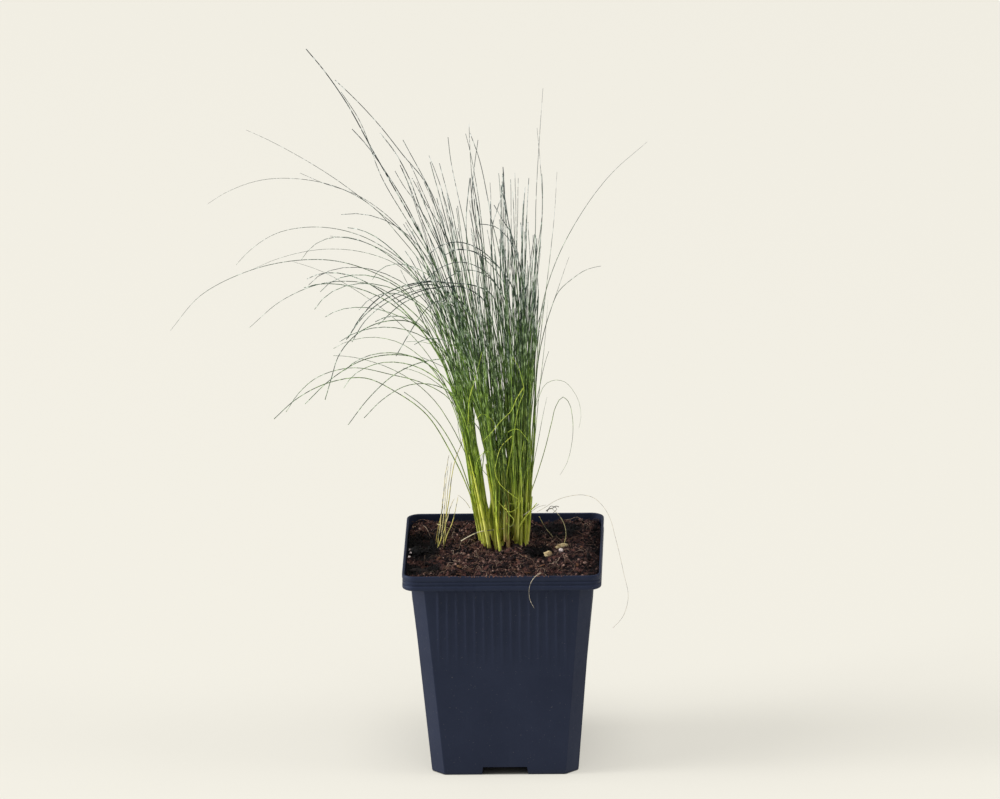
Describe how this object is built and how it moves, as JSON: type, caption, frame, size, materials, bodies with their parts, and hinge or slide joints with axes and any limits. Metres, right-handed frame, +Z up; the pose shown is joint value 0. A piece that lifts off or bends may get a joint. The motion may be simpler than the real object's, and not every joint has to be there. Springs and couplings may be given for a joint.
{
  "type": "mexican feather grass in a nursery pot",
  "caption": "Young clump of fine-bladed feather grass, combed to one side, growing in potting soil in a square tapered plastic nursery pot with a stepped collar.",
  "frame": {"origin": "middle of the pot's underside, on the surface that the pot stands on", "axes": "+Z up, -Y towards the front of the pot, +X to the right as seen from the front; the clump leans towards -X"},
  "size_m": [0.2134, 0.1208, 0.3207],
  "materials": {
    "pot_plastic": "satin dark blue-grey moulded plastic, dusty",
    "potting_soil": "moist dark peat with fibres and bark crumbs",
    "green_blades": "satin thin grass blades",
    "lime_blades": "satin thin grass blades with yellow-green bases",
    "dry_sheaths": "dry papery straw",
    "tan_clods": "rough dry bark crumbs",
    "perlite": "chalky pale grain"
  },
  "bodies": {
    "root": {"pot": "pot_plastic", "soil": "potting_soil", "tillers_left": "lime_blades", "tillers_front_left": "lime_blades", "tillers_front": "lime_blades", "dry_tillers": "dry_sheaths", "tillers_front_right": "green_blades", "tillers_right": "green_blades", "tillers_back_right": "green_blades", "tillers_back": "green_blades", "tillers_back_left": "green_blades", "tillers_tall": "green_blades", "side_tuft": "dry_sheaths", "clod_round": "tan_clods", "clod_long": "tan_clods", "perlite_grain": "perlite"}
  },
  "joints": []
}
